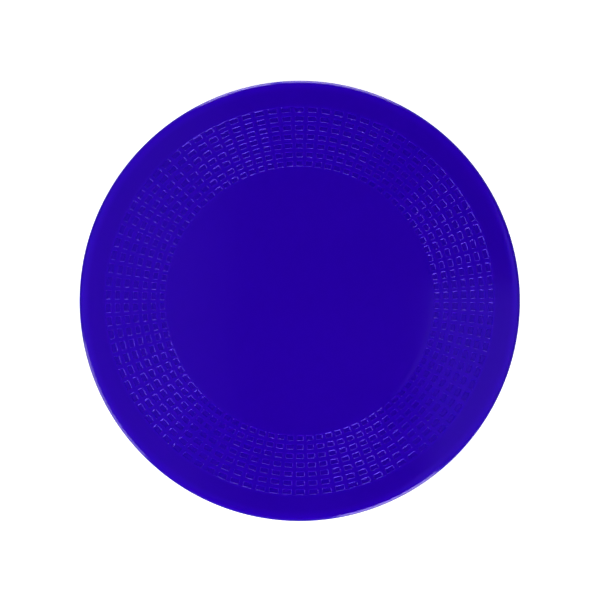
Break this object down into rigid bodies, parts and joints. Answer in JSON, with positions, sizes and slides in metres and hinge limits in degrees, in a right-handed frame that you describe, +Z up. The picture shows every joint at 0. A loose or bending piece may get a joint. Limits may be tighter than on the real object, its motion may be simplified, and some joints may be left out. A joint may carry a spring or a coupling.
{
  "type": "round non-slip mat",
  "caption": "Round flat non-slip mat of silicone rubber with a smooth centre, a sunken ring of ribbed grip pattern and a rounded rim.",
  "frame": {"origin": "centre of the mat's flat underside", "axes": "+Z up out of the patterned top face; +X runs through the middle of a radial rib and +Y through the middle of a column of pockets"},
  "size_m": [0.19, 0.19, 0.0032],
  "materials": {
    "blue_silicone": "gloss"
  },
  "bodies": {
    "root": {"mat_body": "blue_silicone", "grip_lattice": "blue_silicone"}
  },
  "joints": []
}
